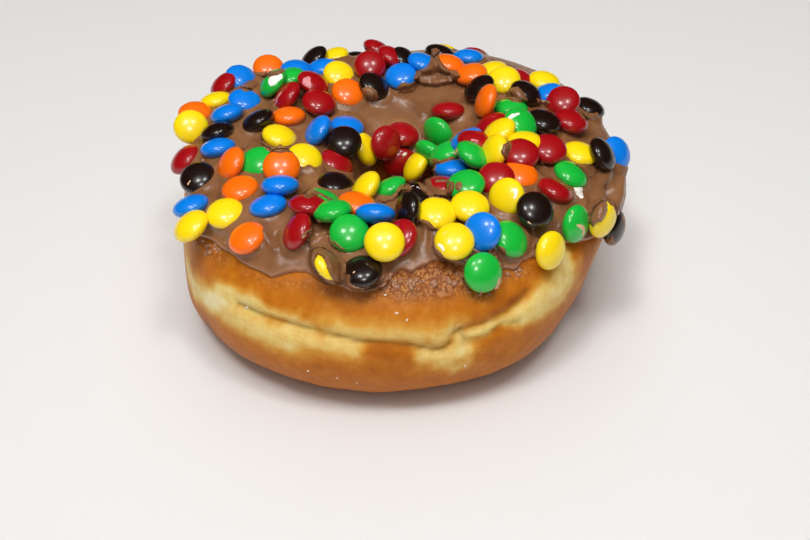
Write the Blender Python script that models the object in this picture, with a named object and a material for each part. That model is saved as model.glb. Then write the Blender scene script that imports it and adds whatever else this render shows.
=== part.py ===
# A chocolate frosted ring doughnut, its top crowded with small sugar-shelled chocolate candies.
# The dough ring is one solid. The frosting, with every candy pressed into it, is the other.
# Lengths are in metres, +Z is up, and the doughnut rests on z = 0 with the middle of its box at the
# origin. A turn runs round the ring from +X, and a swing runs round the ring's section from its outer
# side, up over the top and down into the hole.

import math
import random
from collections import namedtuple

import bmesh
import bpy
from mathutils import Vector, noise
from mathutils.bvhtree import BVHTree

MM = 0.001

# Dough ring
RING_RADIUS = 32 * MM              # from the ring's axis to the middle of its section
RING_AXIS = Vector((-1.59 * MM, -3.96 * MM, 0.0))
SECTION_HALF_WIDTH = 23 * MM
SECTION_HALF_HEIGHT = 19.5 * MM
SECTION_MIDDLE = 18.3 * MM         # its lowest 1.2 mm is pressed flat by its own weight
SECTION_FULLNESS = 2.3             # 2 is an ellipse, more is squarer
OVAL = (-0.9 * MM, 4.6 * MM)       # how far the ring is pulled out of round, two bulges and three
THREE_BULGES = (-2.8 * MM, -1.1 * MM)
LUMP_HEIGHT = 0.5 * MM
LUMP_SIZE = 24 * MM
# Where the ring is fuller or slimmer: the change, the turn and swing of its middle, and how far
# it fades each way, in degrees. The last is the crease left where the ring floated in the fat.
LOCAL_FORMS = (
    (6.8 * MM, 5, 30, 40, 25),
    (-4.9 * MM, 190, 10, 35, 40),
    (13 * MM, 140, 40, 32, 48),
    (-2.2 * MM, 255, 14, 70, 6))
CREASE_SWING = math.radians(LOCAL_FORMS[-1][2])
CREASE_BUNCHING = 0.6              # how much closer the mesh's steps are at the crease
DOUGH_TURNS = 56
DOUGH_SWINGS = 24

# Frosting
FROSTING_GAP = 0.80 * MM           # at the corners of the mesh: halfway along a flat it is about half this
FROSTING_THICKNESS = 2.3 * MM
FROSTING_TURNS = 56
FROSTING_SWINGS = 18
OUTER_BORDER = math.radians(48)
INNER_BORDER = math.radians(158)
BORDER_WAVE = math.radians(3)
EDGE_ROUNDING = 0.6                # 1 is a lens section, less is a blunter edge
BORDER_LOBES = (                   # turn, rise of the border there and half-width, in degrees
    (245, 7, 6), (271, 6, 5), (283, 16, 6), (292, -6, 5), (312, -6, 6), (346, -31, 25),
    (40, -22, 40), (110, -21, 50))

# Candies
CANDY_WIDTH = 9.25 * MM
CANDY_THICKNESS = 4.93 * MM
CANDY_BED = 1.1 * MM               # from the dough to a candy's underside
CANDY_SIDES = 8
CANDY_RINGS = 3
FEW_SIDES_SHARE = 1.11             # its few corners stand out, to make up the true width
CANDY_SOFTNESS = 0.88              # candies touch where their bodies at this share of their size would
CANDY_RISE = 0.25 * MM             # one step up, over the candies beneath
CANDY_MOST_RISE = 4.0 * MM
TEST_LEVELS = (-81, -54, -27, 0, 27, 54, 81)      # degrees up a candy's skin, where touching is tested
TEST_SIDES = 12
BACK_CANDIES = 16                  # out of the view's sight, behind the skyline
BACK_TRIES = 4000
BACK_TURNS = (15, 190)             # degrees
BACK_TOP = 60                      # the highest swing that they are laid at, in degrees
BACK_MARGIN = 7                    # and how far they keep from the frosting's border
BACK_TILT = 0.3
SKYLINE_MARGIN = 1.2 * MM
SEED = 7

# The view that the seats are read in: its frame, its focus in pixels, and where the eye is
VIEW_MIDDLE = (405, 270)
VIEW_FOCUS = 1125
VIEW_TILT = math.radians(40.3)
VIEW_ROLL = 0.02
VIEW_RANGE = 301.8 * MM
VIEW_AIM = Vector((1.9 * MM, -0.8 * MM, 0.0))

# Where each candy is seen: pixels across and down to its middle, the lean of its long axis
# anticlockwise from level, and how open its outline is, from 0.53 on edge to 1 face on.
# They are in the order that they are laid, so that a later one lies over an earlier one.
Seat = namedtuple("Seat", "colour across down lean open")
SEATS = [Seat(*row) for row in (
    ("red", 377, 47, -25, 0.55), ("brown", 405, 60, -45, 0.65), ("red", 392, 57, -30, 0.60),
    ("brown", 440, 53, -15, 0.55), ("blue", 423, 63, -20, 0.60), ("orange", 449, 64, -15, 0.60),
    ("blue", 468, 57.5, -3, 0.55), ("yellow", 334, 54, 20, 0.60), ("brown", 314, 58, 40, 0.60),
    ("red", 370, 66, 0, 0.95), ("blue", 323, 68, 10, 0.60), ("yellow", 339, 75, -20, 0.85),
    ("orange", 268, 66, 0, 0.85), ("blue", 296, 70, 0, 0.65), ("blue", 241, 78, -20, 0.80),
    ("red", 219, 80, 45, 0.60), ("green", 289, 78, 20, 0.60), ("green", 273, 83, 50, 0.60),
    ("blue", 401, 76, 10, 0.80), ("yellow", 492, 71, 10, 0.60), ("orange", 471, 74, 12, 0.65),
    ("red", 521, 80, -30, 0.60), ("yellow", 504, 80, 0, 0.85), ("blue", 546, 94, 20, 0.60),
    ("yellow", 544, 81.5, -15, 0.65), ("brown", 374, 86, -35, 0.75), ("red", 313, 83, -25, 0.65),
    ("orange", 348, 93, -20, 0.85), ("red", 319, 102.5, -15, 0.75), ("red", 287, 96, 50, 0.60),
    ("brown", 526, 93, -30, 0.65), ("brown", 479, 88, 35, 0.65), ("orange", 486, 101, 70, 0.60),
    ("red", 563, 101, 0, 0.88), ("yellow", 216, 101, 15, 0.55), ("blue", 245, 101, -10, 0.72),
    ("orange", 195, 113, 5, 0.70), ("blue", 227, 114, 20, 0.55), ("orange", 288.5, 116.5, 5, 0.58),
    ("brown", 589, 108, -25, 0.60), ("red", 448, 111, 0, 0.55), ("green", 511, 109, -5, 0.60),
    ("yellow", 191, 127, 0, 0.98), ("brown", 258, 121, 30, 0.55), ("red", 571, 121, -25, 0.65),
    ("brown", 544, 121.5, -20, 0.65), ("blue", 347, 127, -8, 0.65), ("blue", 317.5, 131, 55, 0.60),
    ("green", 521, 123, -40, 0.75), ("red", 491, 125, 30, 0.60), ("brown", 217, 132, 20, 0.55),
    ("green", 438, 133, -50, 0.75), ("yellow", 279.5, 137, -17, 0.68), ("yellow", 499, 132, 35, 0.65),
    ("red", 475, 141, -10, 0.60), ("blue", 466, 140, 30, 0.55), ("yellow", 525, 142, -5, 0.60),
    ("red", 403, 134, -15, 0.70), ("red", 386, 143, 80, 0.88), ("blue", 218, 148, 12, 0.55),
    ("red", 549, 149, -20, 0.80), ("green", 430, 154, -40, 0.60), ("green", 446, 153, 25, 0.60),
    ("yellow", 579, 154, -18, 0.68), ("blue", 616.5, 153.5, -72, 0.75), ("brown", 602.5, 154, -60, 0.60),
    ("yellow", 494, 152, 70, 0.70), ("green", 473, 155, -35, 0.62), ("red", 400, 163, 20, 0.90),
    ("red", 185, 159.5, 49, 0.60), ("yellow", 304.5, 159, -18, 0.85),
    ("green", 258, 163, 30, 0.85), ("orange", 231, 164, 62, 0.65), ("yellow", 366, 149.5, -70, 0.62),
    ("red", 336.5, 163.5, -34, 0.70), ("brown", 344, 141.5, 0, 0.88), ("orange", 520, 175.5, -20, 0.80),
    ("orange", 281.5, 167, 0, 0.95), ("blue", 452, 169.5, 0, 0.55), ("yellow", 416, 166, 58, 0.60),
    ("red", 521, 154, -10, 0.85), ("green", 570.5, 175, -36, 0.65), ("red", 496, 179, 0, 0.92),
    ("brown", 198, 178, 25, 0.85), ("orange", 240, 189, 16, 0.70), ("blue", 280, 185.5, 3, 0.56),
    ("green", 323, 201, -20, 0.60), ("brown", 335.5, 184.5, -11, 0.68), ("yellow", 365.5, 188, 55, 0.62),
    ("green", 389, 189, 29, 0.55), ("green", 466, 185, 10, 0.80), ("red", 441, 187, 0, 0.60),
    ("red", 555, 191, -30, 0.58), ("brown", 421, 197, -35, 0.65), ("yellow", 506.5, 197, 75, 0.92),
    ("orange", 357, 204, -12, 0.65), ("blue", 191, 206, 22, 0.56), ("blue", 268, 206, 15, 0.60),
    ("red", 308, 205.5, -4, 0.58), ("green", 332.5, 211, 11, 0.58), ("brown", 407.5, 210.5, 82, 0.64),
    ("brown", 535, 210, -45, 0.90), ("yellow", 470, 206.5, -10, 0.82), ("blue", 375.5, 213.5, -4, 0.53),
    ("yellow", 437, 213.5, -10, 0.84), ("yellow", 225.5, 213.5, 14, 0.80), ("yellow", 191, 226, 44, 0.68),
    ("green", 575.5, 224, 78, 0.68), ("brown", 614, 227, 80, 0.60), ("yellow", 603, 219.5, 68, 0.65),
    ("red", 297, 231.5, 63, 0.64), ("green", 510.5, 239, -55, 0.78), ("blue", 482, 232, 80, 0.95),
    ("red", 400, 238, 60, 0.80), ("green", 349.5, 233.5, -10, 0.96), ("orange", 247, 238, 34, 0.75),
    ("yellow", 384.5, 242, 0, 0.97), ("yellow", 454.5, 241.5, -5, 0.93), ("yellow", 550.5, 250.5, 77, 0.74),
    ("yellow", 327, 266, -52, 0.60), ("brown", 362, 271.5, 10, 0.80), ("green", 483, 272.5, 80, 0.94),
)]

CANDY_PAINT = {
    "red": (0.43, 0.008, 0.012),
    "orange": (1.0, 0.13, 0.004),
    "yellow": (1.0, 0.73, 0.012),
    "green": (0.03, 0.50, 0.05),
    "blue": (0.008, 0.22, 0.90),
    "brown": (0.030, 0.014, 0.010),
}
DOUGH_PAINT = (0.48, 0.19, 0.035)
FROSTING_PAINT = (0.22, 0.095, 0.042)


def bell(distance, width):
    """One at no distance, fading smoothly to nothing past the width."""
    return math.exp(-((distance / width) ** 2))


def angle_between(turn, other):
    """The shorter way round from other to turn."""
    return (turn - other + math.pi) % math.tau - math.pi


def squared(value):
    """A sine or cosine pushed outwards, which makes a circle's section fuller."""
    return math.copysign(abs(value) ** (2 / SECTION_FULLNESS), value)


def out_of_round(turn):
    """How far the ring's outer side is pulled out at a turn."""
    two = OVAL[0] * math.cos(2 * turn) + OVAL[1] * math.sin(2 * turn)
    three = THREE_BULGES[0] * math.cos(3 * turn) + THREE_BULGES[1] * math.sin(3 * turn)
    return two + three


def local_form(turn, swing):
    """The fat shoulder on one side, the slim one opposite, and the crease along the front."""
    total = 0.0
    for change, middle_turn, middle_swing, turn_fade, swing_fade in LOCAL_FORMS:
        share = bell(angle_between(turn, math.radians(middle_turn)), math.radians(turn_fade))
        share *= bell(swing - math.radians(middle_swing), math.radians(swing_fade))
        total += change * share
    return total


def dough_point(turn, swing, lift=0.0):
    """A point on the dough's skin, or lifted clear of it."""
    swing = (swing + math.pi) % math.tau - math.pi
    across = squared(math.cos(swing))
    height = squared(math.sin(swing))
    reach = RING_RADIUS + (SECTION_HALF_WIDTH + lift) * across
    reach += out_of_round(turn) * (across + 1) / 2 + local_form(turn, swing)
    z = SECTION_MIDDLE + (SECTION_HALF_HEIGHT + lift) * height
    point = Vector((reach * math.cos(turn), reach * math.sin(turn), z))
    lump = LUMP_HEIGHT * noise.noise(point / LUMP_SIZE)
    outward = Vector((across * math.cos(turn), across * math.sin(turn), height))
    point += outward * lump
    point.z = max(point.z, 0.0)
    return point + RING_AXIS


def outer_border(turn):
    """The swing where the frosting ends on the outer side: wavy, and draped low over the fat shoulder."""
    border = OUTER_BORDER + BORDER_WAVE * math.sin(7 * turn) * math.sin(2 * turn + 1)
    for middle, rise, width in BORDER_LOBES:
        border += math.radians(rise) * bell(angle_between(turn, math.radians(middle)), math.radians(width))
    return border


def inner_border(turn):
    """The swing where the frosting ends in the hole."""
    return INNER_BORDER + BORDER_WAVE * math.sin(5 * turn + 2)


def frosting_point(turn, round_section):
    """A point on the frosting: half its section is the face on the dough, half the face on top."""
    along = (1 - math.cos(round_section)) / 2
    start = outer_border(turn)
    swing = start + (inner_border(turn) - start) * along
    rise = max(math.sin(round_section), 0.0) ** EDGE_ROUNDING
    return dough_point(turn, swing, FROSTING_GAP + FROSTING_THICKNESS * rise)


def finish(name, paint, roughness, gloss=0.0):
    """A plain material of one colour."""
    material = bpy.data.materials.new(name)
    material.use_nodes = True
    shader = material.node_tree.nodes["Principled BSDF"]
    shader.inputs["Base Color"].default_value = (*paint, 1.0)
    shader.inputs["Roughness"].default_value = roughness
    shader.inputs["Coat Weight"].default_value = gloss
    return material


def bent_ring(name, turns, swings, place):
    """A torus whose every point is moved to place(turn, angle round its section)."""
    bpy.ops.mesh.primitive_torus_add(
        major_segments=turns, minor_segments=swings,
        major_radius=RING_RADIUS, minor_radius=SECTION_HALF_HEIGHT)
    ring = bpy.context.object
    ring.name = name
    ring.data.name = name
    for vertex in ring.data.vertices:
        x, y, z = vertex.co
        turn = math.atan2(y, x)
        round_section = math.atan2(z, math.hypot(x, y) - RING_RADIUS)
        vertex.co = place(turn, round_section)
    ring.data.shade_smooth()
    return ring


def crowded_dough_point(turn, round_section):
    """A point on the dough, with the steps round its section close together at the crease."""
    bunched = round_section - CREASE_BUNCHING * math.sin(round_section)
    return dough_point(turn, CREASE_SWING + bunched)


def make_dough(collection):
    dough = bent_ring("dough_ring", DOUGH_TURNS, DOUGH_SWINGS, crowded_dough_point)
    dough.data.materials.append(finish("fried dough", DOUGH_PAINT, 0.55))
    move_to(dough, collection)
    return dough


def move_to(thing, collection):
    """Leave every other collection for this one."""
    for old in list(thing.users_collection):
        old.objects.unlink(thing)
    collection.objects.link(thing)


def view_axes():
    """The eye's right, up and forward directions, with its small roll."""
    forward = Vector((0, math.cos(VIEW_TILT), -math.sin(VIEW_TILT)))
    level = Vector((1, 0, 0))
    upward = Vector((0, math.sin(VIEW_TILT), math.cos(VIEW_TILT)))
    right = level * math.cos(VIEW_ROLL) - upward * math.sin(VIEW_ROLL)
    above = level * math.sin(VIEW_ROLL) + upward * math.cos(VIEW_ROLL)
    return right, above, forward


def sight(seat):
    """The eye, and the direction in which it sees a seat."""
    right, above, forward = view_axes()
    eye = VIEW_AIM + RING_AXIS - forward * VIEW_RANGE
    x = (seat.across - VIEW_MIDDLE[0]) / VIEW_FOCUS
    y = (VIEW_MIDDLE[1] - seat.down) / VIEW_FOCUS
    return eye, (forward + right * x + above * y).normalized()


def candy_axis(seat, ray, normal):
    """The candy's short axis: its outline gives two, and the one nearer the surface's normal is taken."""
    right, above, _ = view_axes()
    flat = CANDY_THICKNESS / CANDY_WIDTH
    facing = math.sqrt(max(seat.open ** 2 - flat ** 2, 0.0) / (1 - flat ** 2))
    lean = math.radians(seat.lean)
    side = above * math.cos(lean) - right * math.sin(lean)
    side = (side - ray * side.dot(ray)).normalized()
    sunk = math.sqrt(max(1 - facing ** 2, 0.0))
    either = (-ray * facing + side * sunk, -ray * facing - side * sunk)
    return max(either, key=lambda axis: axis.dot(normal))


def half_extent(axis, direction):
    """How far a candy reaches from its middle along a direction."""
    along = axis.dot(direction)
    wide = (CANDY_WIDTH / 2) ** 2 * (1 - along ** 2)
    thick = (CANDY_THICKNESS / 2) ** 2 * along ** 2
    return math.sqrt(wide + thick)


def clearance(surface, middle, axis):
    """The gap from a candy to the dough beneath it, and the dough's normal there."""
    nearest, normal, _, _ = surface.find_nearest(middle)
    distance = (middle - nearest).dot(normal)
    return distance - half_extent(axis, normal), normal


def skin_points(middle, axis):
    """Points over a candy's skin, at the size where candies touch."""
    turn = Vector((0, 0, 1)).rotation_difference(axis)
    wide = CANDY_SOFTNESS * CANDY_WIDTH / 2
    thick = CANDY_SOFTNESS * CANDY_THICKNESS / 2
    points = []
    for level in map(math.radians, TEST_LEVELS):
        for side in range(TEST_SIDES):
            angle = math.tau * side / TEST_SIDES
            flat = wide * math.cos(level)
            spot = Vector((flat * math.cos(angle), flat * math.sin(angle), thick * math.sin(level)))
            points.append(middle + turn @ spot)
    return points


def is_inside(point, middle, axis):
    """Whether a point lies in a candy, at the size where candies touch."""
    offset = point - middle
    along = offset.dot(axis)
    across = offset.length_squared - along ** 2
    wide = (CANDY_SOFTNESS * CANDY_WIDTH / 2) ** 2
    thick = (CANDY_SOFTNESS * CANDY_THICKNESS / 2) ** 2
    return across / wide + along ** 2 / thick < 1


def is_crowded(middle, axis, laid):
    """Whether a candy here would press too far into one already laid."""
    near = [other for other in laid if (middle - other[1]).length < CANDY_WIDTH]
    if not near:
        return False
    points = skin_points(middle, axis) + [middle]
    return any(is_inside(point, other[1], other[2]) for other in near for point in points)


def seat_candy(seat, surface, laid):
    """Bring a candy down its sight line until it lies on its bed of frosting, over those already laid."""
    eye, ray = sight(seat)
    span = 2 * (RING_RADIUS + SECTION_HALF_WIDTH)
    closest = None
    for step in range(int(span / CANDY_RISE)):
        spot = eye + ray * (VIEW_RANGE - span / 2 + step * CANDY_RISE)
        nearest, normal, _, distance = surface.find_nearest(spot)
        if closest is None or distance < closest:
            closest, middle, facing = distance, spot, normal
        if (spot - nearest).dot(normal) < CANDY_THICKNESS / 2 + CANDY_BED:
            break
    axis = candy_axis(seat, ray, facing)
    gap, normal = clearance(surface, middle, axis)
    while gap < CANDY_BED:
        middle = middle - ray * CANDY_RISE
        gap, normal = clearance(surface, middle, axis)
    if gap > CANDY_BED + 2 * CANDY_RISE:
        middle = middle - normal * (gap - CANDY_BED)
    risen = 0.0
    while risen < CANDY_MOST_RISE and is_crowded(middle, axis, laid):
        middle = middle - ray * CANDY_RISE
        risen += CANDY_RISE
    return seat.colour, middle, axis


def back_candy(draw, surface, laid):
    """A candy on the far slope, at a drawn place that is still free, or none."""
    turn = math.radians(draw.uniform(*BACK_TURNS))
    swing = draw.uniform(outer_border(turn) + math.radians(BACK_MARGIN), math.radians(BACK_TOP))
    skin = dough_point(turn, swing)
    _, normal, _, _ = surface.find_nearest(skin)
    tilt = Vector([draw.gauss(0, BACK_TILT) for _ in range(3)])
    axis = (normal + tilt).normalized()
    middle = skin + normal * (CANDY_BED + half_extent(axis, normal))
    colour = draw.choice(sorted(CANDY_PAINT))
    eye = VIEW_AIM + RING_AXIS - view_axes()[2] * VIEW_RANGE
    seen = surface.ray_cast(skin + normal * SKYLINE_MARGIN, (eye - skin).normalized())[0] is None
    if seen or is_crowded(middle, axis, laid):
        return None
    return colour, middle, axis


def lay_candies(surface):
    """Every candy as its colour, middle and short axis."""
    laid = []
    for seat in SEATS:
        laid.append(seat_candy(seat, surface, laid))
    draw = random.Random(SEED)
    for _ in range(BACK_TRIES):
        candy = back_candy(draw, surface, laid)
        if candy:
            laid.append(candy)
        if len(laid) == len(SEATS) + BACK_CANDIES:
            break
    return laid


def candy_mesh(middle, axis, name):
    """A small flattened ball, turned to its axis."""
    shape = bmesh.new()
    bmesh.ops.create_uvsphere(shape, u_segments=CANDY_SIDES, v_segments=CANDY_RINGS, radius=1.0)
    wide = CANDY_WIDTH / 2 * FEW_SIDES_SHARE
    thick = CANDY_THICKNESS / 2
    bmesh.ops.scale(shape, verts=shape.verts, vec=(wide, wide, thick))
    turn = Vector((0, 0, 1)).rotation_difference(axis)
    bmesh.ops.rotate(shape, verts=shape.verts, cent=(0, 0, 0), matrix=turn.to_matrix())
    bmesh.ops.translate(shape, verts=shape.verts, vec=middle)
    mesh = bpy.data.meshes.new(name)
    shape.to_mesh(mesh)
    shape.free()
    return mesh


def keep_largest_body(thing):
    """Drop loose scraps and the skins of sealed hollows, which leaves one closed body."""
    shape = bmesh.new()
    shape.from_mesh(thing.data)
    unseen = set(shape.verts)
    bodies = []
    while unseen:
        body = {unseen.pop()}
        front = list(body)
        while front:
            vertex = front.pop()
            for edge in vertex.link_edges:
                other = edge.other_vert(vertex)
                if other in unseen:
                    unseen.remove(other)
                    body.add(other)
                    front.append(other)
        bodies.append(body)
    bodies.sort(key=len)
    scraps = [vertex for body in bodies[:-1] for vertex in body]
    bmesh.ops.delete(shape, geom=scraps, context="VERTS")
    shape.to_mesh(thing.data)
    shape.free()


def make_frosting(collection, dough):
    frosting = bent_ring("candied_frosting", FROSTING_TURNS, FROSTING_SWINGS, frosting_point)
    frosting.data.materials.append(finish("chocolate frosting", FROSTING_PAINT, 0.35))
    move_to(frosting, collection)
    paints = {}
    for colour, paint in CANDY_PAINT.items():
        paints[colour] = finish(colour + " sugar shell", paint, 0.15, 0.5)
    shape = bmesh.new()
    shape.from_mesh(dough.data)
    surface = BVHTree.FromBMesh(shape)
    shape.free()
    candies = bpy.data.collections.new("candies")
    bpy.context.scene.collection.children.link(candies)
    for number, (colour, middle, axis) in enumerate(lay_candies(surface)):
        name = "candy_%03d" % number
        mesh = candy_mesh(middle, axis, name)
        mesh.materials.append(paints[colour])
        candies.objects.link(bpy.data.objects.new(name, mesh))
    union = frosting.modifiers.new("candies", "BOOLEAN")
    union.operation = "UNION"
    union.operand_type = "COLLECTION"
    union.collection = candies
    union.solver = "EXACT"
    union.material_mode = "TRANSFER"
    bpy.context.view_layer.objects.active = frosting
    bpy.ops.object.modifier_apply(modifier=union.name)
    for candy in list(candies.objects):
        bpy.data.objects.remove(candy)
    bpy.data.collections.remove(candies)
    keep_largest_body(frosting)
    return frosting


def main():
    for thing in list(bpy.data.objects):
        bpy.data.objects.remove(thing)
    collection = bpy.data.collections.new("candy_doughnut")
    bpy.context.scene.collection.children.link(collection)
    dough = make_dough(collection)
    make_frosting(collection, dough)


main()
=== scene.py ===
"""The looks of a chocolate frosted ring doughnut crowded with small sugar-shelled candies."""

import math
import random
from collections import namedtuple

import bmesh
import bpy
import numpy as np
from mathutils import Matrix, Vector, noise
from mathutils.bvhtree import BVHTree


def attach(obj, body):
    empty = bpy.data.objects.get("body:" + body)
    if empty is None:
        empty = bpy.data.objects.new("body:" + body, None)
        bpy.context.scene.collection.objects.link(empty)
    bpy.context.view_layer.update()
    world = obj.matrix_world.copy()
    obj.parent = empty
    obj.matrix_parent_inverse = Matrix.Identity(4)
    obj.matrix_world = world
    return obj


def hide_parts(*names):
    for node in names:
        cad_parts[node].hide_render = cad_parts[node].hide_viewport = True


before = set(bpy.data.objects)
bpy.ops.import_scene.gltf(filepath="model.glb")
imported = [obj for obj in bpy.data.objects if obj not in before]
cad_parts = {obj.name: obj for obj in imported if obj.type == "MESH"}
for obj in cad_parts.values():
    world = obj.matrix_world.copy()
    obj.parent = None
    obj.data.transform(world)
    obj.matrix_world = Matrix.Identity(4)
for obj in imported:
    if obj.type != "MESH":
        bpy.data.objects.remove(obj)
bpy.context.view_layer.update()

# Lengths are in metres. A turn runs round the ring from +X, and a swing runs round the ring's
# section from its outer side, up over the top and down into the hole.
MM = 0.001
DEGREE = math.pi / 180

# Dough ring
RING_RADIUS = 32 * MM
RING_AXIS = Vector((-1.59 * MM, -3.96 * MM, 0.0))
SECTION_HALF_WIDTH = 23 * MM
SECTION_HALF_HEIGHT = 19.5 * MM
SECTION_MIDDLE = 18.3 * MM
SECTION_FULLNESS = 2.3
OVAL = (-0.9 * MM, 4.6 * MM)
THREE_BULGES = (-2.8 * MM, -1.1 * MM)
LUMP_HEIGHT = 0.5 * MM
LUMP_SIZE = 24 * MM
LOCAL_FORMS = (                    # change, middle turn and swing, fade each way
    (6.8 * MM, 5, 30, 40, 25),
    (-4.9 * MM, 190, 10, 35, 40),
    (13 * MM, 140, 40, 32, 48))
DOUGH_TURNS = 640
DOUGH_SWINGS = 150
PLAIN_TURNS = 160                  # of the coarse ring that pixels are brought onto
PLAIN_SWINGS = 60
PATH_STEP = 2.0                    # between the points of a path brought onto it, in pixels
PATH_REACH = 20 * MM               # beyond this a stroke gives nothing
CREASE_BOTTOM = 0.55               # of a crease's depth: the rest is its wider shoulders
CREASE_SPREAD = 3                  # which are this many times as wide
CREASE_SHADE_FADE = 0.45 * MM              # the painted shade in a crease fades over this
FLAKE_HEIGHT = 0.55 * MM           # of the highest ridges between torn flakes
SEAM_GAP = 0.005 * MM              # points closer than this are one

# Browning, from 0 pale to 1 dark. The waist floated clear of the fat, and the front has strokes
CRUST_BROWN = 0.66
WAIST_PALE = 0.42
WAIST_SWING = 9 * DEGREE
WAIST_WIDTH = 13 * DEGREE
FRONT_TURN = 265 * DEGREE
FRONT_WIDTH = 55 * DEGREE
FRONT_FULLNESS = 1.6
BROWNING_SHARPNESS = 2
FORM_SHARPNESS = 3

# Layers of noise: each one's height, the size of its lumps, and its own place in the noise
CRUST_LAYERS = ((0.28 * MM, 7 * MM, 1.0), (0.06 * MM, 1.6 * MM, 2.0))
WAIST_LAYERS = ((6 * DEGREE, 30 * MM, 3.0),)
BROWN_LAYERS = ((0.10, 14 * MM, 5.0), (0.05, 4 * MM, 9.0))
STROKE_LAYERS = ((1.0 * MM, 5 * MM, 12.0), (0.5 * MM, 1.8 * MM, 13.0))
FINE_LAYERS = ((0.05, 2.2 * MM, 20.0),)
FLOW_LAYERS = ((0.40 * MM, 10 * MM, 30.0), (0.16 * MM, 3.6 * MM, 31.0))
SMEAR_LAYERS = ((0.3, 2.0 * MM, 4.0), (0.08, 0.8 * MM, 6.0))
BORDER_LAYERS = ((0.8 * DEGREE, 2.5 * DEGREE, 0.0), (0.35 * DEGREE, 0.8 * DEGREE, 0.0))
FLAKE_RIDGES = ((1.0, 3.2 * MM, 50.0, 6), (0.7, 1.7 * MM, 51.0, 5))     # and each one's sharpness

# Frosting
FROSTING_THICKNESS = 2.8 * MM
FROSTING_EDGE = 1.25 * MM          # as thick as this just inside its border
EDGE_ROUND = 0.7 * MM              # over which the edge rounds off
EDGE_RUN = 6.5 * MM                # and over which it grows to its full thickness
FROSTING_SUNK = 0.4 * MM           # its underside lies a little within the crust
FROSTING_TURNS = 620
FROSTING_SWINGS = 150
FROSTING_TOP_SHARE = 0.86          # of the section's steps, the rest are on the underside
OUTER_BORDER = 48 * DEGREE
INNER_BORDER = 158 * DEGREE
BORDER_WAVE = 3 * DEGREE
BORDER_LOBES = ((346, -31, 25), (40, -22, 40), (110, -21, 50))    # middle turn, change and width
BORDER_STEP = 0.4 * DEGREE         # the front border is evened out over a few such steps
BORDER_EVENED = 3
BORDER_FADE = 6 * DEGREE           # between the front border and the plain one
RAGGED_REACH = 8 * DEGREE
PALE_EDGE = 2.2 * DEGREE
MENISCUS = 1.0 * MM                # how high the frosting climbs where a candy was pressed in
MENISCUS_REACH = 1.1 * MM

# Candies
CANDY_WIDTH = 9.25 * MM
CANDY_THICKNESS = 4.93 * MM
CANDY_BED = 1.1 * MM               # of frosting beneath each
CANDY_SIDES = 36
CANDY_RINGS = 20
CANDY_SOFTNESS = 0.88              # candies touch at this share of their size
CANDY_SHARE = 0.96                 # of the solids' candies, whose corners stand out
BACK_SHARE = 0.06                  # and this much less at the back
CANDY_RISE = 0.25 * MM             # one step towards the eye, off the candies beneath
CANDY_MOST_RISE = 4.0 * MM
TEST_LEVELS = (-81, -54, -27, 0, 27, 54, 81)
TEST_SIDES = 12
BACK_CANDIES = 16                  # at most, behind the skyline
BACK_TRIES = 4000
BACK_TURNS = (15, 190)             # in degrees, as are the next two
BACK_TOP = 60
BACK_MARGIN = 7
BACK_TILT = 0.3
SKYLINE_MARGIN = 1.2 * MM
SEED = 7

# The photograph's view: its frame in pixels, its lens, and where the eye is
VIEW_WIDTH = 810
VIEW_MIDDLE = (405, 270)
VIEW_LENS = 50
VIEW_SENSOR = 36
VIEW_FOCUS = VIEW_WIDTH * VIEW_LENS / VIEW_SENSOR
VIEW_TILT = 40.3 * DEGREE
VIEW_ROLL = 0.02
VIEW_RANGE = 301.8 * MM
VIEW_AIM = Vector((1.9 * MM, -0.8 * MM, 0.0))

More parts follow.
